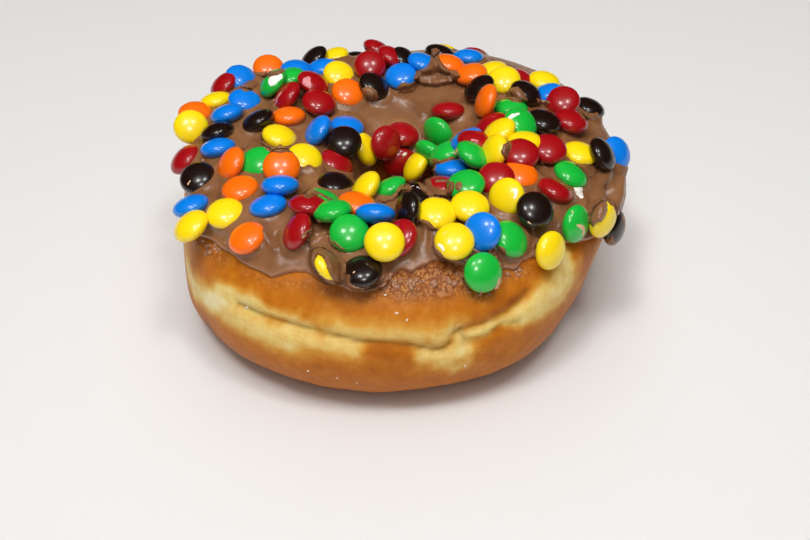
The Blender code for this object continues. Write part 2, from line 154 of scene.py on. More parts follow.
# Where each candy is seen: pixels across and down to its middle, the lean of its long axis
# anticlockwise from level, and how open its outline is, from 0.53 on edge to 1 face on.
Seat = namedtuple("Seat", "colour across down lean open")
SEATS = [Seat(*row) for row in (
    ("red", 377, 47, -25, 0.55), ("brown", 405, 60, -45, 0.65), ("red", 392, 57, -30, 0.60),
    ("brown", 440, 53, -15, 0.55), ("blue", 423, 63, -20, 0.60), ("orange", 449, 64, -15, 0.60),
    ("blue", 468, 57.5, -3, 0.55), ("yellow", 334, 54, 20, 0.60), ("brown", 314, 58, 40, 0.60),
    ("red", 370, 66, 0, 0.95), ("blue", 323, 68, 10, 0.60), ("yellow", 339, 75, -20, 0.85),
    ("orange", 268, 66, 0, 0.85), ("blue", 296, 70, 0, 0.65), ("blue", 241, 78, -20, 0.80),
    ("red", 219, 80, 45, 0.60), ("green", 289, 78, 20, 0.60), ("green", 273, 83, 50, 0.60),
    ("blue", 401, 76, 10, 0.80), ("yellow", 492, 71, 10, 0.60), ("orange", 471, 74, 12, 0.65),
    ("red", 521, 80, -30, 0.60), ("yellow", 504, 80, 0, 0.85), ("blue", 546, 94, 20, 0.60),
    ("yellow", 544, 81.5, -15, 0.65), ("brown", 374, 86, -35, 0.75), ("red", 313, 83, -25, 0.65),
    ("orange", 348, 93, -20, 0.85), ("red", 319, 102.5, -15, 0.75), ("red", 287, 96, 50, 0.60),
    ("brown", 526, 93, -30, 0.65), ("brown", 479, 88, 35, 0.65), ("orange", 486, 101, 70, 0.60),
    ("red", 563, 101, 0, 0.88), ("yellow", 216, 101, 15, 0.55), ("blue", 245, 101, -10, 0.72),
    ("orange", 195, 113, 5, 0.70), ("blue", 227, 114, 20, 0.55), ("orange", 288.5, 116.5, 5, 0.58),
    ("brown", 589, 108, -25, 0.60), ("red", 448, 111, 0, 0.55), ("green", 511, 109, -5, 0.60),
    ("yellow", 191, 127, 0, 0.98), ("brown", 258, 121, 30, 0.55), ("red", 571, 121, -25, 0.65),
    ("brown", 544, 121.5, -20, 0.65), ("blue", 347, 127, -8, 0.65), ("blue", 317.5, 131, 55, 0.60),
    ("green", 521, 123, -40, 0.75), ("red", 491, 125, 30, 0.60), ("brown", 217, 132, 20, 0.55),
    ("green", 438, 133, -50, 0.75), ("yellow", 279.5, 137, -17, 0.68), ("yellow", 499, 132, 35, 0.65),
    ("red", 475, 141, -10, 0.60), ("blue", 466, 140, 30, 0.55), ("yellow", 525, 142, -5, 0.60),
    ("red", 403, 134, -15, 0.70), ("red", 386, 143, 80, 0.88), ("blue", 218, 148, 12, 0.55),
    ("red", 549, 149, -20, 0.80), ("green", 430, 154, -40, 0.60), ("green", 446, 153, 25, 0.60),
    ("yellow", 579, 154, -18, 0.68), ("blue", 616.5, 153.5, -72, 0.75), ("brown", 602.5, 154, -60, 0.60),
    ("yellow", 494, 152, 70, 0.70), ("green", 473, 155, -35, 0.62), ("red", 400, 163, 20, 0.90),
    ("red", 185, 159.5, 49, 0.60), ("yellow", 304.5, 159, -18, 0.85),
    ("green", 258, 163, 30, 0.85), ("orange", 231, 164, 62, 0.65), ("yellow", 366, 149.5, -70, 0.62),
    ("red", 336.5, 163.5, -34, 0.70), ("brown", 344, 141.5, 0, 0.88), ("orange", 520, 175.5, -20, 0.80),
    ("orange", 281.5, 167, 0, 0.95), ("blue", 452, 169.5, 0, 0.55), ("yellow", 416, 166, 58, 0.60),
    ("red", 521, 154, -10, 0.85), ("green", 570.5, 175, -36, 0.65), ("red", 496, 179, 0, 0.92),
    ("brown", 198, 178, 25, 0.85), ("orange", 240, 189, 16, 0.70), ("blue", 280, 185.5, 3, 0.56),
    ("green", 323, 201, -20, 0.60), ("brown", 335.5, 184.5, -11, 0.68), ("yellow", 365.5, 188, 55, 0.62),
    ("green", 389, 189, 29, 0.55), ("green", 466, 185, 10, 0.80), ("red", 441, 187, 0, 0.60),
    ("red", 555, 191, -30, 0.58), ("brown", 421, 197, -35, 0.65), ("yellow", 506.5, 197, 75, 0.92),
    ("orange", 357, 204, -12, 0.65), ("blue", 191, 206, 22, 0.56), ("blue", 268, 206, 15, 0.60),
    ("red", 308, 205.5, -4, 0.58), ("green", 332.5, 211, 11, 0.58), ("brown", 407.5, 210.5, 82, 0.64),
    ("brown", 535, 210, -45, 0.90), ("yellow", 470, 206.5, -10, 0.82), ("blue", 375.5, 213.5, -4, 0.53),
    ("yellow", 437, 213.5, -10, 0.84), ("yellow", 225.5, 213.5, 14, 0.80), ("yellow", 191, 226, 44, 0.68),
    ("green", 575.5, 224, 78, 0.68), ("brown", 614, 227, 80, 0.60), ("yellow", 603, 219.5, 68, 0.65),
    ("red", 297, 231.5, 63, 0.64), ("green", 510.5, 239, -55, 0.78), ("blue", 482, 232, 80, 0.95),
    ("red", 400, 238, 60, 0.80), ("green", 349.5, 233.5, -10, 0.96), ("orange", 247, 238, 34, 0.75),
    ("yellow", 384.5, 242, 0, 0.97), ("yellow", 454.5, 241.5, -5, 0.93), ("yellow", 550.5, 250.5, 77, 0.74),
    ("yellow", 327, 266, -52, 0.60), ("brown", 362, 271.5, 10, 0.80), ("green", 483, 272.5, 80, 0.94),
)]
CANDY_COLOURS = {
    "red": "#A00C12",
    "orange": "#FC6E08",
    "yellow": "#FCDA0C",
    "green": "#18B63A",
    "blue": "#067CE2",
    "brown": "#1C0F0A",
}

# The frosting's front border, in pixels from left to right
BORDER_PATH = (
    (201, 238), (212, 241), (224, 251), (238, 259), (247, 266), (260, 271), (274, 278), (284, 274),
    (297, 270), (308, 272), (316, 277), (330, 282), (344, 288), (360, 294), (376, 292), (383, 286),
    (390, 281), (400, 270), (413, 275), (423, 268), (441, 261), (453, 264), (463, 267), (480, 276),
    (497, 276), (503, 267), (513, 271), (522, 262), (534, 257), (548, 252), (564, 243), (579, 243),
    (594, 236), (603, 243), (619, 240))

# Strokes on the dough: how brown it is there, from 0 pale to 1 dark, the stroke's half width and the
# softness of its edge in millimetres, and its path in pixels
Stroke = namedtuple("Stroke", "value half soft path")
BROWNING = [Stroke(*row) for row in (
    (0.16, 3.4, 1.6, ((188, 272), (194, 288), (208, 299), (228, 306))),
    (0.17, 2.2, 1.0, ((220, 290), (239, 300), (256, 307))),
    (0.18, 1.4, 0.9, ((256, 307), (272, 314), (292, 322), (312, 329))),
    (0.18, 3.4, 2.0, ((228, 316), (250, 327), (275, 337), (288, 343))),
    (0.20, 2.4, 2.0, ((288, 335), (310, 341), (335, 348), (354, 350))),
    (0.20, 2.7, 2.2, ((325, 330), (350, 334), (380, 337), (410, 338), (440, 338), (456, 333))),
    (0.03, 2.0, 1.2, ((207, 300), (219, 304))),
    (0.76, 2.2, 0.9, ((376, 352), (392, 354), (408, 355))),
    (0.28, 2.0, 1.6, ((438, 365), (455, 368), (468, 363))),
    (0.18, 2.4, 1.6, ((426, 357), (445, 357), (462, 352), (469, 347))),
    (0.17, 2.1, 0.8, ((466, 339), (485, 332), (505, 325), (522, 316))),
    (0.19, 3.2, 1.4, ((522, 315), (536, 308))),
    (0.17, 4.4, 1.6, ((541, 303), (552, 295), (561, 284), (566, 273))),
    (0.17, 2.6, 0.8, ((566, 268), (565, 256))),
    (0.64, 3.6, 0.6, ((489, 353), (497, 347), (503, 340))),
    (0.84, 1.2, 0.9, ((496, 310), (514, 301), (528, 291))),
    (0.90, 2.0, 0.8, ((206, 322), (212, 332))),
    (0.72, 3.0, 0.9, ((586, 270), (590, 255), (588, 243))),
)]
FLAKY = [Stroke(*row) for row in (         # value is how flaky the crust is, under crumbs of frosting, with its stain and painted shade
    (1.0, 3.0, 1.8, ((388, 284), (402, 279), (430, 272), (450, 271), (466, 280))),
    (1.0, 1.8, 1.8, ((400, 293), (430, 291), (452, 289))),
    (0.7, 1.0, 1.4, ((474, 296), (490, 296))),
    (0.6, 1.0, 1.6, ((505, 276), (530, 272))),
    (0.8, 1.4, 2.0, ((201, 241), (212, 249), (226, 260))),
    (0.5, 0.8, 1.4, ((245, 272), (275, 284), (310, 283))),
    (0.6, 0.8, 1.2, ((318, 288), (345, 295), (375, 298))),
)]
CREASES = [Stroke(*row) for row in (      # value is a depth in millimetres here
    (1.4, 0.75, 0, ((236, 305), (252, 312.5), (273, 321), (295, 327), (317, 333), (339, 338), (360, 343.5),
                    (382, 345), (404, 346.5), (426, 350), (439, 351), (448, 348), (452, 344))),
    (1.3, 0.8, 0, ((457, 334), (473, 328.5), (488, 323), (506, 314.5), (521, 303), (530, 292))),
    (0.9, 0.7, 0, ((470, 343.5), (486, 338), (504, 325), (521, 323))),
    (1.0, 0.8, 0, ((462, 331), (464, 338), (468, 344))),
)]

# Folds and hollows of the frosting, with a height in millimetres as the value
FROSTING_FORMS = [Stroke(*row) for row in (
    (-3.6, 1.5, 1.2, ((610, 190), (612, 195))),
    (1.2, 0.8, 1.1, ((606, 172), (603, 186), (601, 198), (598, 206))),
    (0.9, 0.8, 0.9, ((621, 180), (620, 196), (616, 206))),
    (1.6, 3.0, 3.0, ((425, 76), (445, 76))),
    (0.9, 0.7, 1.2, ((386, 91), (396, 97), (408, 101), (418, 107), (424, 116))),
    (-0.9, 0.9, 1.2, ((392, 88), (402, 92), (413, 92))),
    (-0.7, 2.0, 2.0, ((288, 256), (303, 260))),
    (1.1, 0.5, 0.8, ((423, 224), (426, 238), (428, 248), (431, 259))),
    (1.0, 0.6, 0.8, ((266, 235), (271, 244), (276, 252))),
    (0.7, 0.4, 0.6, ((270, 236), (280, 229))),
    (0.8, 0.5, 0.7, ((304, 168), (316, 176), (325, 171))),
    (0.8, 0.6, 0.9, ((584, 198), (583, 210), (590, 214))),
)]

# Where frosting lies on the candies or a shell is worn: the thickness in millimetres, half the
# width of a stroke in pixels or 0 for an area, and the stroke's path or the area's outline in pixels
Smear = namedtuple("Smear", "thick half path")
SMEARS = {
    "frosting": (
        (1.5, 0, ((318, 229), (327, 231), (331, 239), (334, 246), (339, 251), (343, 256), (346, 260),
            (346, 266), (346, 273), (346, 281), (340, 284), (334, 281.5), (329.5, 275), (326.5, 268),
            (325, 262), (322, 257), (318.5, 255), (316, 258), (314.5, 263), (316.5, 269), (320, 274),
            (324.5, 278.5), (321, 281), (313, 277), (309, 268), (307, 258), (309, 248), (307, 240),
            (310, 232))),
        (0.9, 0, ((316, 275), (321, 276), (326, 278.5), (331, 279.5), (337, 281), (343, 283), (342, 286),
            (332, 286), (323, 284), (317, 280))),
        (1.3, 2.8, ((348, 277), (348, 284), (355, 289), (366, 291), (377, 288), (386, 283))),
        (0.35, 0, ((333, 239), (337, 242), (341, 246), (345, 248), (346, 251), (341, 250), (336, 246),
            (332, 242))),
        (0.9, 1.8, ((312, 242), (316, 236), (321, 232))),
        (0.8, 1.6, ((325, 232), (328, 238), (326, 246))),
        (0.8, 2.0, ((303, 236), (307, 232), (312, 230))),
        (1.0, 0, ((573, 164), (580, 163), (588, 163.5), (596, 165), (599, 171), (594, 180), (587, 177),
            (582, 171), (577, 166))),
        (1.6, 0, ((602, 194), (607, 199), (608, 206), (607.5, 212), (605, 218), (602, 222), (597, 223),
            (593, 228), (588, 222), (589, 210), (594, 199))),
        (0.8, 2.5, ((610, 202), (615, 205), (618, 213))),
        (0.9, 0, ((602, 240), (609, 238), (613, 234), (614, 240), (618, 243), (622, 238), (623.5, 228),
            (622, 216), (627, 213), (632, 222), (630, 240), (620, 250), (606, 248))),
        (0.8, 0, ((419, 176), (427, 176.5), (431, 179), (432.5, 184), (434, 188), (427, 189),
            (419, 187))),
        (2.0, 0, ((416, 71), (422, 69), (427, 66), (430, 61), (431, 54), (431, 49), (436, 47.5),
            (440, 50), (439, 57), (442, 62), (446, 66.5), (451, 70), (457, 70), (461, 76), (452, 84),
            (436, 87), (420, 85), (413, 79))),
        (0.8, 0, ((396, 88), (400, 83.5), (404, 81.5), (408, 83), (412, 82.5), (416, 80), (419, 84),
            (415, 92), (405, 95), (396, 93))),
        (1.0, 0, ((256, 78.5), (248, 80.5), (243.5, 83.5), (240, 88.5), (244, 92), (252, 90.5),
            (259, 84))),
        (1.0, 0, ((254, 71.5), (262, 71.5), (270, 71.5), (277, 70), (283, 67), (285, 72), (277, 76),
            (264, 78), (255, 76))),
        (1.0, 0, ((261, 136), (266, 142), (271, 146.5), (276, 146.5), (280, 143.5), (284, 146),
            (290, 149), (293, 152), (280, 153.5), (267, 151), (260, 143))),
        (0.9, 2.2, ((244, 148), (250, 142), (258, 134))),
        (0.9, 0, ((429, 159), (436, 158), (441, 160), (447, 158), (453, 156), (456, 158), (449, 161.5),
            (441, 164), (434, 164))),
        (1.2, 2.4, ((434, 163), (433, 170), (430, 176), (424, 181))),
        (1.4, 0, ((419, 187), (428, 185), (436, 186.5), (442, 189.5), (447, 188.5), (449, 183),
            (454, 180.5), (455, 187), (453, 193), (449, 197.5), (440, 198.5), (430, 197), (424, 193))),
        (0.7, 1.8, ((436, 181), (443, 180), (449, 182))),
        (1.2, 0, ((396, 190), (399, 185.5), (404, 183.5), (410, 184.5), (413, 189), (409, 192),
            (402, 193), (397, 198), (394, 197))),
        (0.9, 0, ((400, 186.5), (396, 192), (390, 196), (382, 198), (376, 199.5), (384, 203), (394, 201),
            (400, 194))),
        (0.8, 0, ((303, 190), (309, 187), (316, 190), (323, 193), (330, 197), (333, 200), (326, 198.5),
            (318, 195), (313, 196.5), (309, 199), (303, 197))),
        (0.7, 0, ((418, 218.5), (424, 219), (429, 220.5), (433, 225), (438, 229), (433, 232), (424, 229),
            (417, 223))),
        (0.8, 0, ((434, 240), (436, 247), (441, 252), (445, 258), (449, 261), (441, 262), (434, 256),
            (431, 247))),
        (0.5, 1.6, ((459, 274), (462, 280), (466, 287))),
        (0.9, 1.8, ((490, 251), (496, 255), (500, 260), (502, 267))),
        (0.35, 0, ((497, 245), (502, 246), (506, 249), (507, 254), (503, 257), (499, 251))),
        (0.9, 1.6, ((533, 230), (537, 239), (533, 247))),
        (0.3, 0, ((454, 184), (457, 181), (461, 181), (463, 184), (463, 188), (460, 191), (456, 191),
            (454, 188))),
        (0.5, 0, ((503, 144), (508, 141), (513, 143), (512, 149), (509, 155), (507, 161), (503, 158),
            (500, 152))),
        (0.7, 1.6, ((541, 163), (546, 167), (550, 173))),
        (0.5, 0, ((536, 97), (541, 99), (548, 100), (552, 103), (545, 106), (537, 104))),
        (1.0, 0, ((505, 92), (512, 87), (518, 86), (522, 90), (526, 96), (529, 101), (522, 103),
            (512, 102), (506, 98))),
        (0.9, 0, ((578, 112), (586, 112), (593, 113), (598, 112), (600, 118), (592, 121), (582, 119))),
        (1.0, 0, ((362, 88), (367, 86), (373, 87), (377, 91), (379, 97), (378, 101), (370, 102),
            (363, 98))),
    ),
    "white": (
        (0.6, 0, ((573, 187), (583, 187), (583, 194), (584.5, 198), (581, 199), (577, 196),
            (574.5, 192))),
        (0.1, 0, ((512, 188), (515, 187), (518, 189), (518, 195), (516, 199), (512, 199.5),
            (513.5, 194))),
        (0.12, 0, ((436, 243), (440, 242.5), (444, 246), (446, 251), (443.5, 253), (440, 249),
            (437, 246))),
        (0.08, 1.2, ((442.5, 236), (444, 233), (447, 231))),
        (0.08, 1.0, ((450, 235), (452.5, 234))),
        (0.1, 0, ((267, 79), (271, 75), (277, 72), (283, 73.5), (284, 78), (280, 81.5), (275, 86),
            (270, 87.5), (267.5, 84))),
        (0.12, 0, ((507, 116), (512, 113), (519, 112), (523, 113.5), (518, 116), (513, 119), (509, 120))),
        (0.1, 1.0, ((360, 262), (363, 263.5), (368, 264.5))),
        (0.15, 1.2, ((411, 186.5), (415, 185))),
        (0.15, 1.2, ((417, 187), (420, 188.5))),
    ),
    "tan": (
        (0.1, 0, ((575, 224.5), (579, 223), (584, 224.5), (586.5, 229), (585.5, 234), (583, 238),
            (580.5, 236), (582, 231), (579, 229))),
        (0.08, 1.4, ((572, 211), (573.5, 213.5))),
        (0.15, 0, ((525.5, 221), (529, 220.5), (532, 223), (532, 225.5), (528, 224.5))),
        (0.12, 0, ((497.5, 277.5), (500.5, 277), (501.5, 283), (499, 289), (495, 290), (496.5, 284))),
        (0.25, 0, ((452.5, 153), (456, 149), (458.5, 148.5), (459, 151.5), (456, 156), (453.5, 155))),
        (0.3, 1.0, ((317.5, 219), (319.5, 222))),
        (0.1, 1.4, ((353, 273), (355, 271.5))),
        (0.1, 1.6, ((188, 184), (190, 181))),
        (0.08, 1.0, ((200, 180), (203, 177))),
    ),
    "pink": (
        (0.06, 0, ((302, 78), (308, 75), (311, 76), (312, 84), (311, 90), (306, 88), (301, 84))),
        (0.08, 1.8, ((275, 104), (277, 98), (281, 92.5))),
        (0.08, 1.4, ((472, 139.5), (478, 141))),
        (0.04, 0.7, ((289, 226), (292, 223.5), (297, 223), (303, 226))),
        (0.04, 0.7, ((291, 238), (297, 239), (303, 237.5))),
        (0.04, 0.7, ((295, 247), (297, 244), (300, 241.5))),
    ),
}
WORN_SUGAR = {"white": "#F4EFE6", "tan": "#E2B48C", "pink": "#D88A8C"}
SMEAR_STEP = 0.7                   # of the grid that a smear is draped on, in pixels
SMEAR_EDGE = 4.0                   # a smear rounds off over this, in pixels
SMEAR_DRAPE = 4                    # grid steps over which it bridges the gaps beneath it
SMEAR_BRIDGE = 3.5 * MM            # it rises no further than this off what lies beneath it
SMEAR_LEAP = 3.0 * MM              # and parts where that leaps further than this, as the eye sees it
SMEAR_PARTING = 2                  # grid steps over which it grows thinner towards such a leap
SMEAR_THINNED = 0.7                # the share of its thickness that it loses there
SMEAR_MARGIN = 3                   # of the grid round the smear, in pixels
SMEAR_RAGGED = 0.6                 # how far its outline wanders, and the size of that, in pixels
SMEAR_RAGGED_SIZE = 3.0
SMEAR_SUNK = 0.15 * MM             # its edge is this far in
SMEAR_UNDER = 0.35 * MM            # and its underside this far

# Crumbs: how many, the least and most half length in millimetres, and the middle and half spread of
# the area that they lie in, in pixels
Scatter = namedtuple("Scatter", "count least most across down half_across half_down")
FROSTING_CRUMBS = [Scatter(*row) for row in (
    (16, 0.3, 1.0, 217, 247, 16, 7), (26, 0.4, 1.1, 420, 281, 38, 8), (4, 0.4, 0.9, 478, 294, 14, 2),
    (5, 0.4, 0.9, 514, 271, 10, 4), (10, 0.4, 1.0, 392, 286, 9, 6), (8, 0.3, 0.9, 318, 236, 14, 8))]
# Pale specks of sugary glaze and crumbs. Those on the dough's front are partly painted highlights: pale
# specks set where glints of light on the glaze are seen. The largest, in the hole, is a painted highlight on
# a red candy.
SPECKS_AND_GLINTS = [Scatter(*row) for row in (
    (1, 0.45, 0.5, 308, 371, 0, 0), (1, 0.35, 0.4, 337, 378, 0, 0), (1, 0.35, 0.4, 357, 383, 0, 0),
    (1, 0.5, 0.6, 247, 307, 0, 0), (1, 0.3, 0.4, 385, 295, 0, 0), (1, 0.4, 0.5, 465, 366, 0, 0),
    (1, 0.3, 0.4, 407, 320, 0, 0), (2, 0.3, 0.4, 398, 313, 3, 2), (1, 0.9, 1.0, 404.5, 154.5, 0, 0),
    (2, 0.3, 0.45, 208, 94, 3, 2), (1, 0.4, 0.5, 203, 160, 0, 0))]
CRUMB_FLATNESS = (1.0, 0.6, 0.35)
CRUMB_SPREAD = 0.5
CRUMB_UNEVENNESS = (0.8, 1.2)

# Soft boxes: place and size in metres, power in watts, and the kind of ray that misses them
LIGHTS = (
    ("key", (-0.10, -0.24, 0.92), 0.40, 2.4, "glossy"),
    ("ceiling", (0.0, -0.30, 1.10), 1.4, 6.8, "glossy"),
    ("back", (0.0, 0.9, 1.2), 1.0, 4.0, "glossy"),
    ("fill", (-0.15, -0.95, 0.35), 0.8, 1.3, "glossy"),
    ("window behind the camera", (0.05, -0.64, 0.72), 0.16, 2.0, "diffuse"),
    ("left overhead", (-0.18, -0.26, 0.80), 0.16, 1.8, ""),
    ("right overhead", (0.20, -0.22, 0.82), 0.15, 1.5, ""),
)
LIGHT_AIM = Vector((0, 0, 0.02))
SKY_COLOUR = (1.0, 0.985, 0.965, 1.0)
SKY_STRENGTH = 0.03
FLOOR_SIZE = 2.0
FLOOR_DROP = 0.05 * MM


def paint(hex_colour):
    """An sRGB hex colour as linear red, green, blue and full alpha."""
    levels = [int(hex_colour[start:start + 2], 16) / 255 for start in (1, 3, 5)]
    linear = [level / 12.92 if level <= 0.04045 else ((level + 0.055) / 1.055) ** 2.4 for level in levels]
    return (*linear, 1.0)


def add_node(tree, kind, inputs=None, stops=(), **settings):
    """A new node: its settings, its inputs as values or links, and a colour ramp's stops."""
    made = tree.nodes.new(kind)
    for name, value in settings.items():
        setattr(made, name, value)
    for socket, value in (inputs or {}).items():
        if isinstance(value, bpy.types.NodeSocket):
            tree.links.new(value, made.inputs[socket])
        else:
            made.inputs[socket].default_value = value
    for number, (place, colour) in enumerate(stops):
        if number < 2:
            stop = made.color_ramp.elements[number]
            stop.position = place
        else:
            stop = made.color_ramp.elements.new(place)
        stop.color = paint(colour)
    return made


def bell(distance, width):
    """One at no distance, fading smoothly to nothing past the width."""
    return np.exp(-((distance / width) ** 2))


def angle_between(turn, other):
    """The shorter way round from other to turn."""
    return (turn - other + math.pi) % math.tau - math.pi


def squared(value):
    """A sine or cosine pushed outwards, which makes a circle's section fuller."""
    return np.sign(value) * np.abs(value) ** (2 / SECTION_FULLNESS)


def lumps(points, size, place=0.0):
    """Smooth noise from -1 to 1 at each point, with lumps of about this size."""
    shift = Vector((place, place, place))
    return np.array([noise.noise(Vector(point) / size + shift) for point in points])


def layered(points, layers):
    """Layers of noise added up at each point."""
    return sum(height * lumps(points, size, place) for height, size, place in layers)


def noise_round(turn, layers):
    """Layers of noise that close on themselves round the ring."""
    circle = np.stack((np.cos(turn), np.sin(turn), np.zeros_like(turn)), axis=-1)
    return layered(circle, layers)


def out_of_round(turn):
    """How far the ring's outer side is pulled out at a turn."""
    two = OVAL[0] * np.cos(2 * turn) + OVAL[1] * np.sin(2 * turn)
    three = THREE_BULGES[0] * np.cos(3 * turn) + THREE_BULGES[1] * np.sin(3 * turn)
    return two + three


def local_form(turn, swing):
    """How much further out the ring stands at its fat shoulders, or less far at its slim side."""
    total = 0.0
    for change, middle_turn, middle_swing, turn_fade, swing_fade in LOCAL_FORMS:
        share = bell(angle_between(turn, middle_turn * DEGREE), turn_fade * DEGREE)
        total = total + change * share * bell(swing - middle_swing * DEGREE, swing_fade * DEGREE)
    return total


def dough_points(turn, swing, lift=0.0):
    """Points on the dough's skin or lifted clear of it, and the directions out of it."""
    swing = angle_between(swing, 0.0)
    across = squared(np.cos(swing))
    height = squared(np.sin(swing))
    reach = RING_RADIUS + (SECTION_HALF_WIDTH + lift) * across
    reach = reach + out_of_round(turn) * (across + 1) / 2 + local_form(turn, swing)
    z = SECTION_MIDDLE + (SECTION_HALF_HEIGHT + lift) * height
    points = np.stack((reach * np.cos(turn), reach * np.sin(turn), z), axis=-1)
    outward = np.stack((across * np.cos(turn), across * np.sin(turn), height), axis=-1)
    points = points + outward * (LUMP_HEIGHT * lumps(points, LUMP_SIZE))[:, None]
    return points + np.array(RING_AXIS), outward


def view_axes():
    """The eye's right, up and forward directions, with its small roll."""
    forward = Vector((0, math.cos(VIEW_TILT), -math.sin(VIEW_TILT)))
    level = Vector((1, 0, 0))
    upward = Vector((0, math.sin(VIEW_TILT), math.cos(VIEW_TILT)))
    right = level * math.cos(VIEW_ROLL) - upward * math.sin(VIEW_ROLL)
    above = level * math.sin(VIEW_ROLL) + upward * math.cos(VIEW_ROLL)
    return right, above, forward


def eye_place():
    return VIEW_AIM + RING_AXIS - view_axes()[2] * VIEW_RANGE


def sight(across, down):
    """The direction in which the eye sees a pixel."""
    right, above, forward = view_axes()
    x = (across - VIEW_MIDDLE[0]) / VIEW_FOCUS
    y = (VIEW_MIDDLE[1] - down) / VIEW_FOCUS
    return (forward + right * x + above * y).normalized()


def sighted_path(surface, path):
    """A path of pixels brought onto a surface, as points a couple of pixels apart."""
    eye = eye_place()
    points = []
    for (across, down), (next_across, next_down) in zip(path, path[1:]):
        parts = max(1, round(math.hypot(next_across - across, next_down - down) / PATH_STEP))
        for part in range(parts):
            share = part / parts
            pixel = (across + (next_across - across) * share, down + (next_down - down) * share)
            place = surface.ray_cast(eye, sight(*pixel))[0]
            if place:
                points.append(place)
    return np.array(points)


def gaps_to(points, path):
    """How far each point is from a path, with far points left at the reach."""
    gaps = np.full(len(points), PATH_REACH)
    low = path.min(axis=0) - PATH_REACH
    high = path.max(axis=0) + PATH_REACH
    near = np.all((points > low) & (points < high), axis=1)
    apart = points[near][:, None, :] - path[None, :, :]
    gaps[near] = np.minimum(np.sqrt((apart ** 2).sum(axis=2)).min(axis=1), PATH_REACH)
    return gaps


def stroke_share(points, surface, stroke, sharpness, ragged=0.0):
    """How much of a stroke each point has, from 1 along its path to 0 well outside it."""
    gaps = gaps_to(points, sighted_path(surface, stroke.path)) + ragged
    return 1 / (1 + np.exp(sharpness * (gaps - stroke.half * MM) / (stroke.soft * MM)))


# Seating the candies, as the solids have them

def candy_axis(seat, ray, normal):
    """The candy's short axis: its outline gives two, and the one nearer the surface's normal is taken."""
    right, above, _ = view_axes()
    flat = CANDY_THICKNESS / CANDY_WIDTH
    facing = math.sqrt(max(seat.open ** 2 - flat ** 2, 0.0) / (1 - flat ** 2))
    lean = math.radians(seat.lean)
    side = above * math.cos(lean) - right * math.sin(lean)
    side = (side - ray * side.dot(ray)).normalized()
    sunk = math.sqrt(max(1 - facing ** 2, 0.0))
    either = (-ray * facing + side * sunk, -ray * facing - side * sunk)
    return max(either, key=lambda axis: axis.dot(normal))


def half_extent(axis, direction):
    """How far a candy reaches from its middle along a direction."""
    along = axis.dot(direction)
    wide = (CANDY_WIDTH / 2) ** 2 * (1 - along ** 2)
    thick = (CANDY_THICKNESS / 2) ** 2 * along ** 2
    return math.sqrt(wide + thick)


def clearance(surface, middle, axis):
    """The gap from a candy to the dough beneath it, and the dough's normal there."""
    nearest, normal, _, _ = surface.find_nearest(middle)
    distance = (middle - nearest).dot(normal)
    return distance - half_extent(axis, normal), normal


def skin_points(middle, axis):
    """Points over a candy's skin, at the size where candies touch."""
    turn = Vector((0, 0, 1)).rotation_difference(axis)
    wide = CANDY_SOFTNESS * CANDY_WIDTH / 2
    thick = CANDY_SOFTNESS * CANDY_THICKNESS / 2
    points = []
    for level in map(math.radians, TEST_LEVELS):
        for side in range(TEST_SIDES):
            angle = math.tau * side / TEST_SIDES
            flat = wide * math.cos(level)
            spot = Vector((flat * math.cos(angle), flat * math.sin(angle), thick * math.sin(level)))
            points.append(middle + turn @ spot)
    return points


def is_inside(point, middle, axis):
    """Whether a point lies in a candy, at the size where candies touch."""
    offset = point - middle
    along = offset.dot(axis)
    across = offset.length_squared - along ** 2
    wide = (CANDY_SOFTNESS * CANDY_WIDTH / 2) ** 2
    thick = (CANDY_SOFTNESS * CANDY_THICKNESS / 2) ** 2
    return across / wide + along ** 2 / thick < 1


def is_crowded(middle, axis, laid):
    """Whether a candy here would press too far into one already laid."""
    near = [other for other in laid if (middle - other[1]).length < CANDY_WIDTH]
    if not near:
        return False
    points = skin_points(middle, axis) + [middle]
    return any(is_inside(point, other[1], other[2]) for other in near for point in points)


def seat_candy(seat, surface, laid):
    """Bring a candy down its sight line until it lies on its bed of frosting, over those already laid."""
    eye = eye_place()
    ray = sight(seat.across, seat.down)
    span = 2 * (RING_RADIUS + SECTION_HALF_WIDTH)
    closest = None
    for step in range(int(span / CANDY_RISE)):
        spot = eye + ray * (VIEW_RANGE - span / 2 + step * CANDY_RISE)
        nearest, normal, _, distance = surface.find_nearest(spot)
        if closest is None or distance < closest:
            closest, middle, facing = distance, spot, normal
        if (spot - nearest).dot(normal) < CANDY_THICKNESS / 2 + CANDY_BED:
            break
    axis = candy_axis(seat, ray, facing)
    gap, normal = clearance(surface, middle, axis)
    while gap < CANDY_BED:
        middle = middle - ray * CANDY_RISE
        gap, normal = clearance(surface, middle, axis)
    if gap > CANDY_BED + 2 * CANDY_RISE:
        middle = middle - normal * (gap - CANDY_BED)
    risen = 0.0
    while risen < CANDY_MOST_RISE and is_crowded(middle, axis, laid):
        middle = middle - ray * CANDY_RISE
        risen += CANDY_RISE
    return seat.colour, middle, axis


def back_candy(draw, surface, laid):
    """A candy on the far slope, at a drawn place that is still free, or none."""
    turn = math.radians(draw.uniform(*BACK_TURNS))
    border = float(plain_border(np.array([turn]))[0])
    swing = draw.uniform(border + math.radians(BACK_MARGIN), math.radians(BACK_TOP))
    skin = Vector(dough_points(np.array([turn]), np.array([swing]))[0][0])
    _, normal, _, _ = surface.find_nearest(skin)
    tilt = Vector([draw.gauss(0, BACK_TILT) for _ in range(3)])
    axis = (normal + tilt).normalized()
    middle = skin + normal * (CANDY_BED + half_extent(axis, normal))
    colour = draw.choice(sorted(CANDY_COLOURS))
    seen = surface.ray_cast(skin + normal * SKYLINE_MARGIN, (eye_place() - skin).normalized())[0] is None
    if seen or is_crowded(middle, axis, laid):
        return None
    return colour, middle, axis


